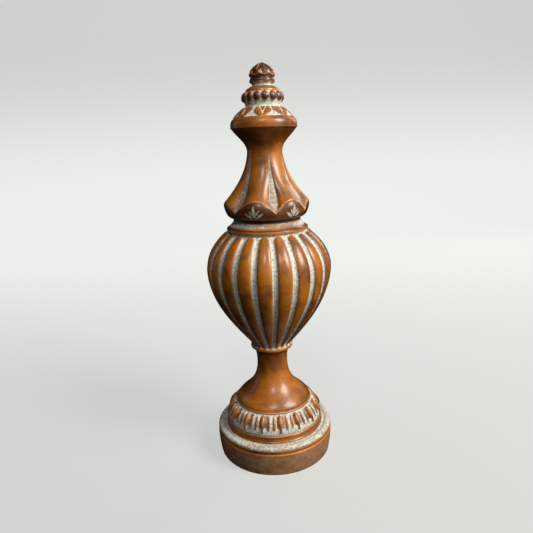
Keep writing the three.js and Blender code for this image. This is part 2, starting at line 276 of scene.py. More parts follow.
rim = outline(
    line((band_top_radius - 0.4, dome_z), (dome_radius - 0.5, dome_z), 2),
    bend((dome_radius - 0.5, dome_z), (dome_radius + 0.4, dome_z + 0.5), (dome_radius, dome_z + 1.5), 5),
    bend((dome_radius, dome_z + 1.5), (dome_radius - 0.9, rim_z - 0.2), (dome_radius - 1.0, rim_z), 3),
    line((dome_radius - 1.0, rim_z), (dome_radius - 0.6, rim_z + 0.7), 1),
)
foot = sweep(
    (dome_radius - 0.6, rim_z + 0.7),
    (dome_radius - 5.7, rim_z + 12.9),
    (stem_radius - 0.3, stem_z - 31.4),
    (stem_radius, stem_z),
    26,
)
flare = bend((stem_radius, stem_z), (stem_radius, stem_z + 9.2), (cup_foot_radius, cup_z), 6)
cup = outline(
    line((cup_foot_radius, cup_z), (cup_radius - 1.9, cup_z + 0.5), 2),
    bend(
        (cup_radius - 1.9, cup_z + 0.5),
        (cup_radius + 0.9, cup_z + 1.6),
        (cup_radius - 0.4, cup_z + 4.4),
        6,
    ),
    line((cup_radius - 0.4, cup_z + 4.4), (urn_foot_radius, urn_z), 3),
)


def carve_foot(angle, run, radius, height):
    groove = 1 - ramp(np.abs(height - rim_z - 0.2), 0.15, 0.7)
    edge = (1 - ramp(height, dome_z + 1.5, dome_z + 2.2)) * ramp(height, dome_z, dome_z + 0.1)
    on_dome = ramp(height, rim_z + 2, rim_z + 12)
    under_rim = 1 - ramp(height, dome_z + 0.05, dome_z + 0.6)
    stem_shade = ramp(height, stem_z - 16, stem_z + 6)
    left_shade = ramp(-np.sin(angle), 0.3, 0.85) * on_dome * (1 - ramp(height, rim_z + 14, stem_z - 8))
    return {
        "rise": uneven(angle, height, 0.2, 3.0) * on_dome,
        "wash": 0.62 * groove,
        "wear": 0.8 * edge,
        # Painted shade under the rim, on the stem below the urn, and on the left side of the dome, turned
        # from the light.
        "dark": 0.8 * under_rim + 0.4 * stem_shade + 0.6 * left_shade,
    }


def carve_cup(angle, run, radius, height):
    dots = 1 - ramp(np.abs(spokes(angle, dot_count, dot_turn)), 0.12, 0.26)
    ledge = ramp(height, cup_z + 3.8, cup_z + 4.8)
    round_edge = ramp(height, cup_z + 0.6, cup_z + 1.2) * (1 - ramp(height, cup_z + 2.4, cup_z + 3.8))
    return {
        "rise": 0.5 * dots * ledge,
        "wash": ledge * (0.2 + 0.75 * dots),
        "wear": 0.9 * round_edge,
        # Painted shade under the ring's round edge.
        "dark": 0.8 * (1 - ramp(height, cup_z + 0.4, cup_z + 1.0)),
    }


lay(outline(rim, foot, flare), smooth_columns, carve=carve_foot)
lay(cup, smooth_columns, carve=carve_cup)


# Urn. Rounded gadroons stand close together from the cup ring to just under the collar, where each
# one ends in a round tip. The wash was brushed into the flat grooves and left ragged at their edges.

urn_radius = 68.4
urn_top_radius = 42.4
belly_z = urn_z + 89.4
collar_z = belly_z + 42.2
gadroon_count = dot_count
groove_turn = dot_turn
gadroon_rise = 3.0
gadroon_tip = 5.0

urn_lower = sweep(
    (urn_foot_radius, urn_z),
    (urn_foot_radius + 0.51 * (urn_radius - urn_foot_radius), urn_z + 0.31 * (belly_z - urn_z)),
    (urn_radius, belly_z - 0.36 * (belly_z - urn_z)),
    (urn_radius, belly_z),
    24,
)
urn_upper = sweep(
    (urn_radius, belly_z),
    (urn_radius, belly_z + 0.43 * (collar_z - belly_z)),
    (urn_top_radius + 0.44 * (urn_radius - urn_top_radius), belly_z + 0.83 * (collar_z - belly_z)),
    (urn_top_radius, collar_z),
    23,
)


def carve_urn(angle, run, radius, height):
    """Each gadroon is a round lobe between flat grooves, and narrows to a round tip at the top."""
    to_groove = spokes(angle, gadroon_count, groove_turn)
    pitch = 2 * math.pi * radius / gadroon_count
    groove_half = 1.75 + 0.007 * radius
    from_crest = (0.5 - np.abs(to_groove)) * pitch
    lobe_half = pitch / 2 - groove_half
    to_end = np.clip(run.max() - 2.4 - run, 0, None)
    tip = dome(np.clip(1 - to_end / gadroon_tip, 0, 1))
    lobe = dome(from_crest / np.maximum(lobe_half * tip, 0.02)) * ramp(tip, 0, 0.3)
    full = 0.45 + 0.55 * ramp(height, urn_z, urn_z + 30)
    rise = gadroon_rise * full * (lobe ** 0.85 - 1)
    in_groove = 1 - ramp(lobe, -0.1, 0.72)
    # Painted shade on each lobe's flanks, stronger on the left flank turned from the light, on the lower
    # urn and on the urn's right side. The pale line on each lobe's right edge above the belly is wash and
    # also a painted highlight.
    flank_shade = (0.25 + 0.45 * (to_groove > 0)) * ramp(lobe, 0.15, 0.45) * (1 - ramp(lobe, 0.55, 0.92))
    right_edge_wash_and_sheen = (1 - ramp(np.abs(lobe - 0.55), 0.08, 0.2)) * (to_groove < 0) * (lobe > 0.3)
    above_belly = ramp(height, belly_z, collar_z - 12)
    lower_shade = 1 - ramp(height, urn_z + 8, urn_z + 45)
    right_shade = ramp(np.sin(angle), 0.6, 0.95)
    return {
        "rise": rise + uneven(angle, height, 0.12, 4.0),
        "wash": np.maximum(in_groove, 0.42 * right_edge_wash_and_sheen * above_belly),
        "wear": 0.5 * (1 - ramp(np.abs(lobe - 0.5), 0.1, 0.3)) * (lobe > 0.2),
        "dark": (0.36 * lower_shade + 0.4 * right_shade) * ramp(lobe, 0.2, 0.6) + flank_shade,
    }


lay(outline(urn_lower, urn_upper)[1:], gadroon_count * 20, groove_turn, carve_urn)


# Collar. A thin band runs round its lower edge, over the tips of the gadroons, and above it a plain
# slope rises to the narrow neck under the skirt. The wash there was half wiped away.

collar_radius = 43.9
collar_band_z = collar_z + 2.6
neck_foot_radius = 36.2
skirt_z = collar_z + 13.8

collar_band = outline(
    line((urn_top_radius - 0.5, collar_z), (collar_radius - 0.5, collar_z), 2),
    bend(
        (collar_radius - 0.5, collar_z),
        (collar_radius + 0.2, collar_z),
        (collar_radius, collar_z + 0.7),
        3,
    ),
    line((collar_radius, collar_z + 0.7), (collar_radius - 0.1, collar_band_z - 0.4), 2),
    bend(
        (collar_radius - 0.1, collar_band_z - 0.4),
        (collar_radius - 0.3, collar_band_z),
        (collar_radius - 0.9, collar_band_z),
        3,
    ),
)
collar_slope = bend(
    (collar_radius - 0.9, collar_band_z + 0.1),
    (collar_radius - 4.4, collar_band_z + 2.6),
    (neck_foot_radius, skirt_z - 4.6),
    10,
)
collar_neck = line((neck_foot_radius, skirt_z - 4.6), (neck_foot_radius, skirt_z - 0.1), 3)


def carve_collar(angle, run, radius, height):
    up = ramp(height, collar_band_z + 1.0, collar_band_z + 3.4)
    in_neck = ramp(height, skirt_z - 4.4, skirt_z - 2.4)
    on_slope = up * (1 - in_neck)
    patch = 0.5 + 0.5 * np.cos(2 * (angle + math.radians(70)))
    band_crease_shade = 1 - ramp(np.abs(height - collar_band_z - 0.5), 0.3, 1.0)
    return {
        "rise": uneven(angle, height, 0.2, 5.0) * on_slope,
        "wash": on_slope * (0.38 + 0.5 * patch),
        "wear": 0.8 * (1 - ramp(height, collar_band_z - 1.6, collar_band_z - 0.2)),
        # Painted shade in the neck under the skirt and in the crease just over the band; the slope is a
        # little darker overall.
        "dark": np.clip(in_neck + 0.25 * up + 0.85 * band_crease_shade, 0, 1),
    }


lay(outline(collar_band, collar_slope, collar_neck), smooth_columns, carve=carve_collar)


# Skirt. Six bulging panels flare down from the neck, parted by long flat grooves that open and then
# close again to a cusp at the hem. Below, the flare is cut back to a rounded underside, so that each
# panel ends in an arch, and a fan of small pointed leaves is cut into the face under each arch.

panel_count = 6
panel_pitch = 2 * math.pi / panel_count
panel_turn = 12
panel_middle_turn = panel_turn + 180 / panel_count
panel_drift = 4.5
panel_crowding = 7
skirt_height = 65.7
neck_radius = 18.6
neck_z = skirt_z + skirt_height
flare_foot_radius = 62.2
flare_handle_radius = 42.9
skirt_foot_radius = 39.8
skirt_radius = 45.9
skirt_bulge_z = skirt_z + 12.6
arch_radius = 42.6
arch_z = skirt_z + 20.6
hem_cusp_z = skirt_z + 6.2
hem_crest_z = skirt_z + 16.4
hem_front_rise = 3.4
panel_depth = 0.2
panel_groove_half = math.radians(6.8)

flare_line = sweep(
    (flare_foot_radius, skirt_z),
    (flare_handle_radius, skirt_z + 0.266 * skirt_height),
    (neck_radius + 3, skirt_z + 0.583 * skirt_height),
    (neck_radius, neck_z),
    60,
)
under_line = outline(
    bend(
        (skirt_foot_radius, skirt_z),
        (skirt_radius - 1.4, skirt_z + 2.5),
        (skirt_radius, skirt_bulge_z),
        20,
    ),
    bend(
        (skirt_radius, skirt_bulge_z),
        (skirt_radius, (skirt_bulge_z + arch_z) / 2),
        (arch_radius, arch_z),
        12,
    ),
)


def panel_radius(angle, height):
    """Radius of the flare with its panels, and the place across a panel, which is 0 in the grooves
    and 1 at the panel's middle."""
    share = (height - skirt_z) / skirt_height
    to_groove = np.abs(spokes(angle, panel_count, panel_turn)) * panel_pitch
    opening = ramp(share, 0.06, 0.34) * (1 - ramp(share, 0.3, 1.05))
    floor_half = panel_groove_half * opening
    across = np.maximum(to_groove - floor_half, 0) / (panel_pitch / 2 - floor_half)
    bulge = np.sin(across * math.pi / 2) ** 0.85
    depth = panel_depth * (1 - ramp(share, 0.2, 0.98))
    radius = np.interp(height, flare_line[:, 1], flare_line[:, 0])
    return radius * (1 - depth * (1 - bulge)), across


def hem_height(angle):
    """The hem rises from a cusp at each groove to a round arch, which is higher at the front."""
    to_groove = np.abs(spokes(angle, panel_count, panel_turn)) * 2
    front = np.clip(np.cos(angle - math.radians(panel_turn)), 0, 1)
    crest = hem_crest_z + hem_front_rise * front
    return hem_cusp_z + (crest - hem_cusp_z) * np.sin(to_groove * math.pi / 2) ** 0.9


def fan_of_leaves(across, up):
    """Mask of a fan of pointed leaves that spring from one point. Each has its lean in degrees, and
    in millimetres where it starts and ends and its half width."""
    mask = np.zeros_like(across)
    root = 1.4
    leaves = (
        (-2, 1.6, 15.5, 1.9),
        (-56, 2.6, 13.0, 1.4),
        (52, 2.8, 12.0, 1.3),
        (25, 5.0, 13.0, 1.0),
        (-28, 5.0, 12.0, 0.8),
    )
    for lean, start, end, half in leaves:
        side, stand = math.sin(math.radians(lean)), math.cos(math.radians(lean))
        along = across * side + (up - root) * stand
        share = np.clip((along - start) / (end - start), 0, 1)
        beside = np.abs(across * stand - (up - root) * side)
        width = half * np.clip(np.sin(share ** 0.8 * math.pi), 0, 1) ** 0.7
        mask = np.maximum(mask, ramp(width - beside, -0.2, 0.35) * (share > 0) * (share < 1))
    return mask


# The grooves were spaced by eye: they wander a little from even sixths of the round.
skirt_columns = panel_count * 56
even_angle = math.radians(panel_turn) + np.linspace(0, 2 * math.pi, skirt_columns, endpoint=False)
from_front = even_angle - math.radians(panel_turn)
skirt_angle = even_angle - math.radians(panel_drift) * np.sin(from_front)
skirt_angle -= math.radians(panel_crowding) * (1 - np.cos(from_front))
side_of_groove = np.sign(spokes(even_angle, panel_count, panel_turn))
from_middle = spokes(even_angle, panel_count, panel_middle_turn) * panel_pitch
hem = hem_height(even_angle)
set_back = panel_radius(even_angle, hem)[0] - np.interp(hem, under_line[:, 1], under_line[:, 0])

# Underside, from the neck's foot out to the hem
for share in np.linspace(0, 1, 20)[:-1]:
    height = skirt_z + (hem - skirt_z) * share
    radius = np.interp(height, under_line[:, 1], under_line[:, 0]) + set_back * share ** 2
    leaves = fan_of_leaves(from_middle * radius, (height - skirt_z) * 1.1)
    # Painted shade over the underside of the skirt, round the pale leaves.
    lay_ring(skirt_angle, radius - 0.6 * leaves, height, wash=leaves, dark=0.62 * (1 - leaves))

# Outer face, from the hem up to the neck, with closer rings at the hem's edge
for share in np.concatenate([[0.0, 0.006, 0.014, 0.025], np.linspace(0.045, 1, 28)]):
    height = hem + (neck_z - hem) * share
    radius, across = panel_radius(even_angle, height)
    up = (height - skirt_z) / skirt_height
    rounding = 0.35 * (1 - ramp(share, 0, 0.014))
    relief = uneven(skirt_angle, height, 0.1, 6.0)
    edge = 1 - ramp(share, 0.004, 0.03)
    floor = (1 - ramp(across, 0.0, 0.12)) * ramp(up, 0.1, 0.15) * (1 - ramp(up, 0.92, 0.98))
    # On one side of each groove, a rubbed orange line and a pale film are wear and wash and also a
    # painted highlight; the flank on the other side gets painted shade.
    groove_edge_wear_and_sheen = (1 - ramp(np.abs(across - 0.2), 0.04, 0.14)) * ramp(up, 0.2, 0.4)
    groove_edge_wear_and_sheen *= 1 - ramp(up, 0.8, 0.95)
    film = (1 - ramp(across, 0.05, 0.42)) * ramp(up, 0.14, 0.2) * (1 - ramp(up, 0.3, 0.46))
    shade = (1 - ramp(across, 0.06, 0.4)) * (1 - ramp(up, 0.8, 1.0))
    lay_ring(
        skirt_angle,
        radius - rounding + relief,
        height,
        wash=np.maximum(0.5 * floor, 0.36 * film * (side_of_groove < 0)),
        wear=np.maximum(0.9 * edge, 0.5 * groove_edge_wear_and_sheen * (side_of_groove < 0)),
        dark=0.55 * shade * (side_of_groove > 0) * (1 - floor),
    )


# Neck and cap. The neck spreads under the cap in a hollow curve, darkened with painted shade. The cap has
# a round glossy rim, and eight leaves lie on its low dome with their tips to the rim and wash in between.

cap_z = neck_z + 24.6
cap_edge_radius = 34.1
cap_radius = 34.5
cap_rim_z = cap_z + 9.5
cap_rim_top_radius = 32.2
cap_top_z = cap_z + 19.4
cap_top_radius = 20
leaf_count = 8
leaf_turn = -0.5
leaf_depth = 1.1

cap_hollow = sweep(
    (neck_radius, neck_z),
    (neck_radius - 1, neck_z + 10.6),
    (cap_edge_radius - 5.5, neck_z + 16.5),
    (cap_edge_radius - 0.4, cap_z),
    16,
)
cap_rim = outline(
    line((cap_edge_radius - 0.4, cap_z), (cap_edge_radius - 0.1, cap_z), 1),
    bend((cap_edge_radius - 0.1, cap_z), (cap_radius, cap_z + 0.1), (cap_radius, cap_z + 0.9), 3),
    bend((cap_radius, cap_z + 0.9), (cap_radius + 0.6, cap_z + 6.8), (cap_rim_top_radius, cap_rim_z), 9),
    bend(
        (cap_rim_top_radius, cap_rim_z),
        (cap_rim_top_radius - 0.6, cap_rim_z + 0.3),
        (cap_rim_top_radius - 0.8, cap_rim_z + 0.5),
        2,
    ),
)
cap_dome = bend(
    (cap_rim_top_radius - 0.8, cap_rim_z + 0.5),
    (cap_top_radius + 8.5, cap_top_z - 4.5),
    (cap_top_radius - 0.4, cap_top_z + 1.2),
    20,
)


def carve_rim(angle, run, radius, height):
    near_edge = 1 - ramp(np.abs(height - cap_z - 0.3), 0.2, 0.9)
    edge = near_edge * ramp(radius, cap_edge_radius - 1.2, cap_edge_radius - 0.4)
    under_cap = ramp(height, neck_z + 4, neck_z + 12) * (1 - ramp(height, cap_z - 0.2, cap_z + 3.8))
    return {
        "rise": uneven(angle, height, 0.1, 7.0),
        "wear": 0.5 * edge + 0.4 * ramp(height, cap_rim_z - 1.2, cap_rim_z),
        # Painted shade in the hollow under the cap.
        "dark": 0.36 * under_cap,
    }


def carve_leaves(angle, run, radius, height):
    """Each leaf widens from its tip at the rim, and has two veins with a soft lobe outside each."""
    share = run / run.max()
    place = np.abs(spokes(angle, leaf_count, leaf_turn)) * 2
    leaf_half = 0.2 + 0.7 * ramp(share, -0.15, 0.62) - 0.1 * ramp(share, 0.75, 1)
    off_rim = ramp(share, 0.02, 0.1)
    inside = ramp(leaf_half - place, -0.04, 0.06) * off_rim + (1 - off_rim)
    vein_half = 0.4 * ramp(share, 0.2, 1.15)
    vein = (1 - ramp(np.abs(place - vein_half), 0.04, 0.09)) * ramp(share, 0.2, 0.28)
    lobe_middle = 0.5 * (vein_half + leaf_half)
    lobe_half = np.maximum(0.5 * (leaf_half - vein_half), 0.02)
    lobe = dome(np.clip((place - lobe_middle) / lobe_half, -1, 1))
    rise = -leaf_depth * (1 - inside) - 0.5 * vein * inside + 0.5 * inside * lobe
    return {
        "rise": rise * (1 - ramp(share, 0.94, 1)) * ramp(share, 0, 0.05),
        "wash": np.clip(1 - inside + 0.9 * vein, 0, 1) * ramp(share, 0.0, 0.05),
        "wear": 0.4 * inside * lobe,
    }


lay(outline(cap_hollow, cap_rim)[1:], smooth_columns, carve=carve_rim)
lay(cap_dome[1:], leaf_count * 38, leaf_turn, carve_leaves)


# Bead ring. Fifteen long beads stand round the stage over the cap, between a hollow neck filled with
# wash and the small smooth dome that carries the bud.

top_columns = 128
scotia_radius = 17.6
bed_foot_radius = 18.6
bed_bulge_radius = 21.0
bed_head_radius = 17.2
small_dome_radius = 15.6
bead_z = cap_top_z + 5.8
bed_head_z = bead_z + 11.4
small_dome_z = bead_z + 13.6
bead_count = 15
bead_turn = 7.5
bead_length = 9.6
bead_half_share = 0.49
bead_rise = 2.7
waist_z = bead_z + 16.9
waist_radius = 10

scotia = bend(
    (cap_top_radius - 1.2, cap_top_z + 1.3),
    (scotia_radius - 0.4, cap_top_z + 2.6),
    (bed_foot_radius, bead_z - 0.4),
    6,
)
bead_bed = bend(
    (bed_foot_radius, bead_z - 0.4),
    (bed_bulge_radius, bead_z + 3.2),
    (bed_head_radius, bed_head_z),
    20,
)
small_dome = outline(
    bend(
        (bed_head_radius, bed_head_z),
        (bed_head_radius, bed_head_z + 1.4),
        (small_dome_radius, small_dome_z),
        4,
    ),
    bend(
        (small_dome_radius, small_dome_z),
        (waist_radius + 2.5, small_dome_z + 1.8),
        (waist_radius, waist_z),
        5,
    ),
)


def carve_beads(angle, run, radius, height):
    place = spokes(angle, bead_count, bead_turn)
    along = (run - 0.5 * run.max()) / (bead_length / 2)
    across = place / bead_half_share
    bead = dome(np.clip(np.hypot(across, along), 0, 1))
    low = 1 - ramp(along, -0.5, 0.35)
    return {
        "rise": bead_rise * bead ** 0.9,
        "wash": 1 - ramp(bead, 0.0, 0.2) - 0.9 * ramp(along, 1.0, 1.1),
        # The beads are dark lacquer, with painted shade added towards their lower ends.
        "dark": (0.7 + 0.3 * low) * bead,
        "wear": 0.2 * ramp(along, 0.2, 0.8) * bead,
    }


def carve_small_dome(angle, run, radius, height):
    return {"wash": ramp(height, waist_z - 1.6, waist_z - 0.4)}


lay(scotia, top_columns, wash=0.95)
lay(bead_bed, bead_count * 20, bead_turn, carve_beads)
lay(small_dome[1:], top_columns, carve=carve_small_dome, wear=0.2, dark=0.35)


# Bud. A closed bud stands on a washed waist: a flared calyx, a scalloped lip, a row of little round
# bosses and eight petals that lean together under a small pointed tip.

bud_radius = 13.2
bud_height = 22.6
petal_count = 8
petal_turn = 0
boss_turn = petal_turn - 12
calyx_leaf_turn = 22.5
calyx_radius = 12.9
calyx_top_radius = 12.2
bud_lip_radius = 13.1
tip_radius = 0.3
calyx_z = waist_z + 3.3
calyx_top_z = calyx_z + 2.8
bud_lip_z = waist_z + 7.0
tip_z = waist_z + bud_height

waist = outline(
    bend(
        (waist_radius, waist_z),
        (waist_radius - 0.2, waist_z + 1.0),
        (calyx_radius - 1.5, calyx_z - 0.8),
        6,
    ),
    bend(
        (calyx_radius - 1.5, calyx_z - 0.8),
        (calyx_radius - 0.1, calyx_z - 0.4),
        (calyx_radius, calyx_z + 0.8),
        4,
    ),
    bend(
        (calyx_radius, calyx_z + 0.8),
        (calyx_radius, calyx_z + 2.0),
        (calyx_top_radius, calyx_top_z),
        4,
    ),
)
bulb = outline(
    bend(
        (calyx_top_radius, calyx_top_z),
        (calyx_top_radius + 0.2, calyx_z + 3.2),
        (bud_lip_radius, bud_lip_z),
        6,
    ),
    bend(
        (bud_lip_radius, bud_lip_z),
        (bud_radius + 0.9, waist_z + 0.65 * bud_height),
        (0.23 * bud_radius, waist_z + 0.89 * bud_height),
        28,
    ),
    bend(
        (0.23 * bud_radius, waist_z + 0.89 * bud_height),
        (0.1 * bud_radius, waist_z + 0.95 * bud_height),
        (tip_radius, tip_z),
        5,
    ),
)


def carve_waist(angle, run, radius, height):
    """Short pointed leaves round the waist, under the plain ring of the calyx."""
    place = np.abs(spokes(angle, petal_count, calyx_leaf_turn)) * 2
    tips = ramp(0.7 * ramp(height, waist_z + 0.8, calyx_z) - place, -0.08, 0.08)
    ring = ramp(height, calyx_z - 0.2, calyx_z + 0.6)
    return {
        "rise": 0.45 * tips * (1 - ring),
        "wash": 0.8 * (1 - tips) * (1 - ring),
        "wear": 0.6 * tips * (1 - ring),
        "dark": 0.9 * ring + 0.3 * tips,
    }


def carve_bulb(angle, run, radius, height):
    """From below: a scalloped lip, a row of bosses, and petals with thin rims round the tip."""
    share = (height - calyx_top_z) / (tip_z - calyx_top_z)
    place = np.abs(spokes(angle, petal_count, petal_turn))
    from_boss = spokes(angle, petal_count, boss_turn)
    scallop = 0.1 + 0.09 * np.abs(np.cos(math.pi * from_boss)) ** 0.7
    under_lip = 1 - ramp(share, scallop - 0.02, scallop + 0.02)
    lip_ridge = 1 - ramp(np.abs(share - scallop - 0.045), 0.01, 0.06)
    boss = dome(np.clip(np.hypot(from_boss / 0.26, (share - 0.34) / 0.12), 0, 1))
    petal_half = 0.47 * dome(np.clip((share - 0.42) / 0.5, 0, 1)) ** 0.8
    petal = ramp(petal_half - place, -0.05, 0.06) * ramp(share, 0.4, 0.46)
    petal_rim = (1 - ramp(np.abs(petal_half - place - 0.06), 0.02, 0.08)) * ramp(share, 0.42, 0.5)
    fold = 0.4 * petal * (1 - place / 0.47)
    below_tip = 1 - ramp(share, 0.85, 1)
    relief = -0.7 * under_lip + 0.5 * lip_ridge + 1.1 * boss
    washed = (1 - petal) * ramp(share, 0.5, 0.62) * (1 - ramp(share, 0.8, 0.9))
    worn = boss + 0.55 * lip_ridge + 0.5 * ramp(share, 0.88, 1) + 0.6 * petal_rim * below_tip
    dark_gap = (1 - petal) * (1 - boss) * (1 - lip_ridge) * (1 - ramp(share, 0.75, 0.9))
    return {
        "rise": relief + (0.8 * petal + fold + 0.3 * petal_rim) * below_tip - 0.5,
        "wash": 0.6 * washed + 0.15 * under_lip,
        "wear": np.clip(worn, 0, 1),
        "dark": np.clip(dark_gap + 0.7 * petal, 0, 1),
    }


lay(waist[1:], top_columns, carve=carve_waist)
lay(bulb[1:], petal_count * 20, petal_turn, carve_bulb)


# The casting. The rings of all the stages are joined into one closed skin, with no seam between
# stages, because the real piece came out of one mould.


def stitch(lower, upper, first, second):
    """Faces between two rings, also where one has more points than the other."""
    count, other = len(lower["angle"]), len(upper["angle"])
    if count == other and abs(lower["angle"][0] - upper["angle"][0]) < 1e-6:
        after = [(i + 1) % count for i in range(count)]
        return [(first + i, first + after[i], second + after[i], second + i) for i in range(count)]
    turn = 2 * math.pi
    gap = (upper["angle"] - lower["angle"][0] + math.pi) % turn - math.pi
    begin = int(np.argmin(np.abs(gap)))
    start = lower["angle"][0] + gap[begin]
    faces = []
    i = j = 0
    while i < count or j < other:
        next_low = lower["angle"][0] + (i + 1) * turn / count
        next_high = start + (j + 1) * turn / other
        low_now, high_now = first + i % count, second + (begin + j) % other
        if j == other or (i < count and next_low <= next_high):
            faces.append((low_now, first + (i + 1) % count, high_now))
            i += 1
        else:
            faces.append((low_now, second + (begin + j + 1) % other, high_now))
            j += 1
    return faces


def close_casting():
    """One mesh from all rings, closed on the axis at the underside and at the tip."""
    starts = np.concatenate([[0], np.cumsum([len(ring["angle"]) for ring in rings])])
    faces = []
    for row in range(len(rings) - 1):
        faces += stitch(rings[row], rings[row + 1], int(starts[row]), int(starts[row + 1]))
    bottom, top = int(starts[-1]), int(starts[-1]) + 1
    first, last = len(rings[0]["angle"]), len(rings[-1]["angle"])
    faces += [(bottom, (i + 1) % first, i) for i in range(first)]
    end = int(starts[-2])
    faces += [(top, end + i, end + (i + 1) % last) for i in range(last)]
    ends = np.array([[0, 0, 0], [0, 0, tip_z * mm]])
    points = np.vstack([ring["points"] for ring in rings] + [ends])
    mesh = bpy.data.meshes.new("finial_casting")
    mesh.from_pydata(points.tolist(), [], faces)
    mesh.polygons.foreach_set("use_smooth", [True] * len(mesh.polygons))
    for name in ("wash", "wear", "raw", "dark"):
        at_ends = [rings[0][name][0], rings[-1][name][0]]
        values = np.concatenate([ring[name] for ring in rings] + [at_ends])
        mark = mesh.attributes.new(name, "FLOAT", "POINT")
        mark.data.foreach_set("value", values.astype(np.float32))
    mesh.update()
    piece = bpy.data.objects.new("finial_casting", mesh)
    bpy.context.collection.objects.link(piece)
    return piece


finial = close_casting()
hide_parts("finial")
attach(finial, "root")


# Finish. Copper-brown lacquer, deeper in some places than others, was flecked with dark drops, brushed
# with a pale wash that stayed in the hollows, and rubbed through to orange at the edges. Shade is painted
# in as well: the lacquer is darkened in hollows, under overhangs and on the sides turned from the light.


def group(name, inputs, outputs):
    """An empty shader group with named sockets."""
    tree = bpy.data.node_groups.new(name, "ShaderNodeTree")
    for label, kind, value in inputs:
        socket = tree.interface.new_socket(label, in_out="INPUT", socket_type=kind)
        if value is not None:
            socket.default_value = value
    for label, kind in outputs:
        tree.interface.new_socket(label, in_out="OUTPUT", socket_type=kind)
    return tree, tree.nodes.new("NodeGroupInput"), tree.nodes.new("NodeGroupOutput")


def add(tree, kind, settings=None, **links):
    """A node with its settings. Its sockets, by name or as _0, _1 by number, take a value or are
    joined to another node's socket."""
    new = tree.nodes.new(kind)
    for name, value in (settings or {}).items():
        setattr(new, name, value)
    for name, value in links.items():
        key = int(name[1:]) if name[1:].isdigit() else name.replace("_", " ")
        if isinstance(value, bpy.types.NodeSocket):
            tree.links.new(value, new.inputs[key])
        else:
            new.inputs[key].default_value = value
    return new


def maths(tree, operation, a, b=0.0, c=0.0):
    return add(tree, "ShaderNodeMath", {"operation": operation}, _0=a, _1=b, _2=c).outputs[0]


def step(tree, value, low, high):
    """0 below low and 1 above high, with a soft step between."""
    soft = {"interpolation_type": "SMOOTHSTEP"}
    new = add(tree, "ShaderNodeMapRange", soft, Value=value, From_Min=low, From_Max=high)
    return new.outputs["Result"]


def grain(tree, vector, scale, detail=3.0, roughness=0.55, distortion=0.0):
    """Cloudy noise, with that many features to a metre, from about 0.3 to 0.7."""
    new = add(tree, "ShaderNodeTexNoise", None, Vector=vector, Scale=scale, Detail=detail)
    new.inputs["Roughness"].default_value = roughness
    new.inputs["Distortion"].default_value = distortion
    return new.outputs["Fac"]


def blend(tree, factor, a, b):
    """Colour a where the factor is 0, and b where it is 1."""
    return add(tree, "ShaderNodeMix", {"data_type": "RGBA"}, _0=factor, _6=a, _7=b).outputs[2]


def ragged_mask():
    """Turns the smooth mask of a brushed-on layer into one with a bristly edge, small bare flecks
    and a thin film where the mask is faint."""
    tree, given, result = group(
        "Brushed layer",
        [
            ("Vector", "NodeSocketVector", None),
            ("Mask", "NodeSocketFloat", 0.0),
            ("Bristle Scale", "NodeSocketFloat", 500.0),
            ("Raggedness", "NodeSocketFloat", 0.5),
            ("Flecks", "NodeSocketFloat", 0.5),
        ],
        [("Cover", "NodeSocketFloat"), ("Thickness", "NodeSocketFloat")],
    )
    vector, mask, scale, ragged, flecks = (given.outputs[i] for i in range(5))
    squashed = add(tree, "ShaderNodeMapping", None, Vector=vector, Scale=(1.0, 1.0, 0.7)).outputs[0]
    bristles = grain(tree, squashed, scale, 4.0, 0.7)
    broad = grain(tree, vector, 130.0, 2.0)
    edge = maths(tree, "MULTIPLY_ADD", maths(tree, "SUBTRACT", bristles, 0.5), ragged, mask)
    edge = maths(tree, "MULTIPLY_ADD", maths(tree, "SUBTRACT", broad, 0.5), 0.5, edge)
    cover = step(tree, edge, 0.34, 0.66)
    film = maths(tree, "MULTIPLY", step(tree, mask, 0.02, 0.8), maths(tree, "ADD", 0.2, bristles))
    cover = maths(tree, "MAXIMUM", cover, maths(tree, "MULTIPLY", film, 0.75))
    fine = grain(tree, vector, 1500.0, 2.0, 0.6)
    bare = maths(tree, "MULTIPLY", step(tree, fine, 0.52, 0.68), flecks)
    left = maths(tree, "MULTIPLY", cover, maths(tree, "SUBTRACT", 1.0, bare))
    thickness = maths(tree, "MULTIPLY", cover, maths(tree, "ADD", 0.5, fine))
    tree.links.new(left, result.inputs["Cover"])
    tree.links.new(thickness, result.inputs["Thickness"])
    return tree


def specks_mask():
    """Small round drops, of unlike sizes, in some of the cells of a pattern."""
    tree, given, result = group(
        "Scattered drops",
        [
            ("Vector", "NodeSocketVector", None),
            ("Scale", "NodeSocketFloat", 200.0),
            ("Size", "NodeSocketFloat", 0.14),
            ("Share", "NodeSocketFloat", 0.5),
        ],
        [("Drops", "NodeSocketFloat")],
    )
    vector, scale, size, share = (given.outputs[i] for i in range(4))
    cells = add(tree, "ShaderNodeTexVoronoi", {"feature": "F1"}, Vector=vector, Scale=scale)
    apart = add(tree, "ShaderNodeSeparateColor", None, Color=cells.outputs["Color"])
    chosen = maths(tree, "LESS_THAN", apart.outputs[0], share)
    radius = maths(tree, "MULTIPLY", size, maths(tree, "ADD", 0.35, apart.outputs[1]))
    inside = step(tree, maths(tree, "SUBTRACT", radius, cells.outputs["Distance"]), -0.03, 0.03)
    tree.links.new(maths(tree, "MULTIPLY", inside, chosen), result.inputs["Drops"])
    return tree


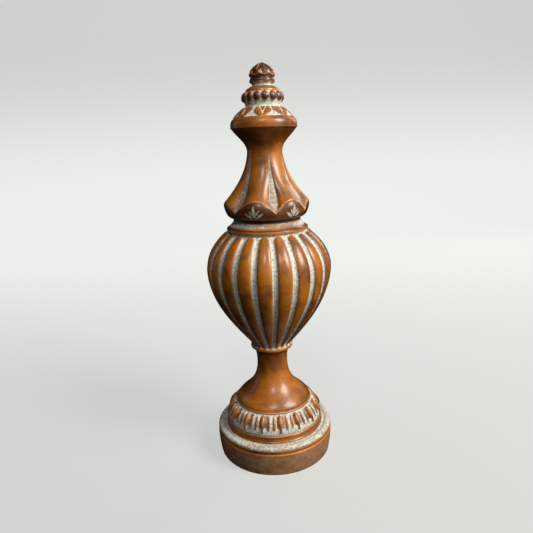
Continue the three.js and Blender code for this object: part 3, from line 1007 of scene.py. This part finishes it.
def lacquer_finish():
    brushed, drops = ragged_mask(), specks_mask()
    material = bpy.data.materials.new("Copper lacquer over resin")
    material.use_nodes = True
    tree = material.node_tree
    shader = tree.nodes["Principled BSDF"]
    place = add(tree, "ShaderNodeTexCoord").outputs["Object"]
    wash, wear, raw, dark = (
        add(tree, "ShaderNodeAttribute", {"attribute_name": name}).outputs["Fac"]
        for name in ("wash", "wear", "raw", "dark")
    )

    # Lacquer, from amber to a deep brown at random, darkened towards umber by noise and by the
    # darker-lacquer mark, which also carries painted shade
    deep = (0.14, 0.038, 0.003, 1)
    amber = (0.50, 0.165, 0.006, 1)
    copper = (0.48, 0.13, 0.015, 1)
    umber = (0.032, 0.011, 0.006, 1)
    broad = grain(tree, place, 26.0, 3.0, 0.6, 0.4)
    mottle = grain(tree, place, 240.0, 4.0, 0.65)
    colour = blend(tree, step(tree, broad, 0.33, 0.62), deep, amber)
    colour = blend(tree, maths(tree, "MULTIPLY", step(tree, mottle, 0.48, 0.72), 0.4), colour, copper)
    painted_shade_and_smoke = maths(tree, "MULTIPLY_ADD", maths(tree, "SUBTRACT", mottle, 0.5), 0.6, dark)
    colour = blend(tree, maths(tree, "MULTIPLY", step(tree, painted_shade_and_smoke, 0.1, 0.85), 0.92), colour, umber)

    # Dark drops flicked over it, edges rubbed through, and a few pale specks on top
    drop_colour = (0.02, 0.01, 0.006, 1)
    rubbed = (0.72, 0.27, 0.04, 1)
    speck_colour = (0.55, 0.5, 0.38, 1)
    drop_settings = {"Vector": place, "Scale": 600.0, "Size": 0.24, "Share": 0.6}
    flecks = add(tree, "ShaderNodeGroup", {"node_tree": drops}, **drop_settings).outputs[0]
    colour = blend(tree, maths(tree, "MULTIPLY", flecks, 0.8), colour, drop_colour)
    worn = maths(tree, "MULTIPLY", wear, step(tree, grain(tree, place, 420.0, 3.0, 0.6), 0.3, 0.6))
    colour = blend(tree, maths(tree, "MULTIPLY", worn, 0.8), colour, rubbed)
    speck_settings = {"Vector": place, "Scale": 95.0, "Size": 0.06, "Share": 0.3}
    specks = add(tree, "ShaderNodeGroup", {"node_tree": drops}, **speck_settings).outputs[0]
    colour = blend(tree, maths(tree, "MULTIPLY", specks, 0.7), colour, speck_colour)

    # Bare resin on the drum's side, dirty and streaked
    drum_colour = (0.43, 0.25, 0.14, 1)
    drum_shade = (0.29, 0.14, 0.06, 1)
    streak_colour = (0.30, 0.29, 0.24, 1)
    dirt = grain(tree, place, 160.0, 5.0, 0.7)
    bare = blend(tree, step(tree, dirt, 0.35, 0.65), drum_shade, drum_colour)
    streak_place = add(tree, "ShaderNodeMapping", None, Vector=place, Scale=(1.0, 1.0, 0.12)).outputs[0]
    streaks = step(tree, grain(tree, streak_place, 190.0, 3.0, 0.6), 0.56, 0.74)
    bare = blend(tree, maths(tree, "MULTIPLY", streaks, 0.35), bare, streak_colour)
    colour = blend(tree, raw, colour, bare)

    # Chalky wash over all of it
    wash_colour = (0.76, 0.84, 0.79, 1)
    wash_shade = (0.42, 0.43, 0.39, 1)
    layer_settings = {"Mask": wash, "Bristle_Scale": 700.0, "Raggedness": 0.8, "Flecks": 0.5}
    layer = add(tree, "ShaderNodeGroup", {"node_tree": brushed}, Vector=place, **layer_settings)
    cover, thickness = layer.outputs["Cover"], layer.outputs["Thickness"]
    cloudy = step(tree, grain(tree, place, 380.0, 4.0, 0.7), 0.36, 0.58)
    chalk = blend(tree, cloudy, wash_shade, wash_colour)
    colour = blend(tree, cover, colour, chalk)
    tree.links.new(colour, shader.inputs["Base Color"])

    # The lacquer shines; the wash and the bare resin are dull
    gloss = maths(tree, "MULTIPLY_ADD", mottle, 0.2, 0.42)
    unlacquered = maths(tree, "MAXIMUM", cover, raw)
    rough = maths(tree, "MAXIMUM", gloss, maths(tree, "MULTIPLY", unlacquered, 0.62))
    tree.links.new(rough, shader.inputs["Roughness"])
    coat = maths(tree, "SUBTRACT", 0.72, maths(tree, "MULTIPLY", unlacquered, 0.7))
    tree.links.new(coat, shader.inputs["Coat Weight"])
    shader.inputs["Coat Roughness"].default_value = 0.24
    shader.inputs["IOR"].default_value = 1.5

    peel = grain(tree, place, 170.0, 3.0, 0.5)
    height = maths(tree, "MULTIPLY_ADD", peel, 0.5, maths(tree, "MULTIPLY", thickness, 0.35))
    height = maths(tree, "MULTIPLY_ADD", maths(tree, "MULTIPLY", raw, dirt), 0.6, height)
    bump = add(tree, "ShaderNodeBump", None, Strength=0.35, Distance=0.0006, Height=height)
    tree.links.new(bump.outputs[0], shader.inputs["Normal"])
    return material


finial.data.materials.append(lacquer_finish())


# Studio. The finial stands on a pale floor that curves up behind it, in soft light: a broad bright
# window at the right, a smaller one in front and above, one behind at the right, and the cool
# glimmer of a room at the left.


def pale_stage():
    width, front, back, wall, curve = 6.0, -2.5, 2.2, 3.5, 0.8
    section = [(front, 0.0)]
    for turn in np.linspace(0, math.pi / 2, 17):
        section.append((back - curve + curve * math.sin(turn), curve - curve * math.cos(turn)))
    section.append((back, wall))
    points = [(x, y, z) for y, z in section for x in (-width / 2, width / 2)]
    faces = [(2 * i, 2 * i + 1, 2 * i + 3, 2 * i + 2) for i in range(len(section) - 1)]
    mesh = bpy.data.meshes.new("pale_floor")
    mesh.from_pydata(points, [], faces)
    mesh.polygons.foreach_set("use_smooth", [True] * len(mesh.polygons))
    floor = bpy.data.objects.new("pale_floor", mesh)
    bpy.context.collection.objects.link(floor)
    paper = bpy.data.materials.new("Pale paper")
    paper.use_nodes = True
    tree = paper.node_tree
    shader = tree.nodes["Principled BSDF"]
    where = add(tree, "ShaderNodeTexCoord").outputs["Object"]
    place = add(tree, "ShaderNodeSeparateXYZ", None, Vector=where)
    near, far, high = (0.48, 0.50, 0.49, 1), (0.78, 0.81, 0.77, 1), (0.58, 0.59, 0.57, 1)
    glow = blend(tree, step(tree, place.outputs["Y"], -0.3, 1.2), near, far)
    glow = blend(tree, step(tree, place.outputs["Z"], 0.1, 0.9), glow, high)
    tree.links.new(glow, shader.inputs["Emission Color"])
    shader.inputs["Base Color"].default_value = (0.20, 0.20, 0.20, 1)
    shader.inputs["Roughness"].default_value = 0.9
    shader.inputs["Specular IOR Level"].default_value = 0.1
    shader.inputs["Emission Strength"].default_value = 1.0
    mesh.materials.append(paper)
    floor.visible_diffuse = False
    floor.visible_glossy = False


def soft_light(name, bearing, elevation, distance, size, power, colour):
    """A flat lamp that faces the finial. The bearing is in degrees from the front to the right."""
    aim_height = 0.24
    lamp = bpy.data.lights.new(name, "AREA")
    lamp.shape = "RECTANGLE"
    lamp.size, lamp.size_y = size
    lamp.energy = power
    lamp.color = colour
    holder = bpy.data.objects.new(name, lamp)
    bpy.context.collection.objects.link(holder)
    turn, rise = math.radians(bearing), math.radians(elevation)
    back = np.array([math.cos(rise) * math.sin(turn), -math.cos(rise) * math.cos(turn), math.sin(rise)])
    place = back * distance + np.array([0, 0, aim_height])
    side = np.cross((0, 0, 1), back)
    side /= np.linalg.norm(side)
    up = np.cross(back, side)
    rows = [[side[i], up[i], back[i], place[i]] for i in range(3)]
    holder.matrix_world = Matrix(rows + [[0, 0, 0, 1]])


def room():
    """Dim light from the walls in front and at the right, and next to none elsewhere."""
    world = bpy.data.worlds.new("soft room")
    world.use_nodes = True
    tree = world.node_tree
    direction = add(tree, "ShaderNodeTexCoord").outputs["Generated"]
    brightest = (0.8, -0.45, 0.4)
    dim, lit = (0.010, 0.008, 0.008, 1), (0.22, 0.22, 0.22, 1)
    towards = add(tree, "ShaderNodeVectorMath", {"operation": "DOT_PRODUCT"}, _0=direction, _1=brightest)
    colour = blend(tree, step(tree, towards.outputs["Value"], 0.1, 1.0), dim, lit)
    tree.links.new(colour, tree.nodes["Background"].inputs["Color"])
    bpy.context.scene.world = world


pale_stage()
soft_light("window_right", 60, 37, 1.5, (0.6, 0.7), 26, (1.0, 0.9, 0.78))
soft_light("window_front", -3, 46, 1.6, (0.34, 0.34), 6.0, (1.0, 0.96, 0.88))
soft_light("window_behind", 138, 28, 1.6, (0.3, 0.8), 3, (1.0, 0.9, 0.8))
soft_light("room_left", -110, 12, 1.6, (0.3, 1.0), 0.7, (0.85, 0.9, 1.0))
room()
bpy.context.scene.view_settings.view_transform = "Standard"


# Camera. It stands a little over a finial's height away, level with the top of the skirt, looks
# down and leans slightly to one side, as in the photograph.

camera_distance = 0.5141
camera_height = 0.3438
look_down = math.radians(13.728)
look_aside = math.radians(-0.294)
lean = math.radians(2.2)
picture_width = 533
focal_pixels = 477.3

level_part = math.cos(look_down)
forward = np.array(
    [math.sin(look_aside) * level_part, math.cos(look_aside) * level_part, -math.sin(look_down)]
)
level = np.array([math.cos(look_aside), -math.sin(look_aside), 0])
down = np.cross(forward, level)
right = math.cos(lean) * level + math.sin(lean) * down
up = math.sin(lean) * level - math.cos(lean) * down

lens = bpy.data.cameras.new("camera")
lens.sensor_width = 36
lens.lens = focal_pixels / picture_width * lens.sensor_width
camera = bpy.data.objects.new("camera", lens)
bpy.context.collection.objects.link(camera)
stand = (0, -camera_distance, camera_height)
rows = [[right[i], up[i], -forward[i], stand[i]] for i in range(3)]
camera.matrix_world = Matrix(rows + [[0, 0, 0, 1]])
bpy.context.scene.camera = camera
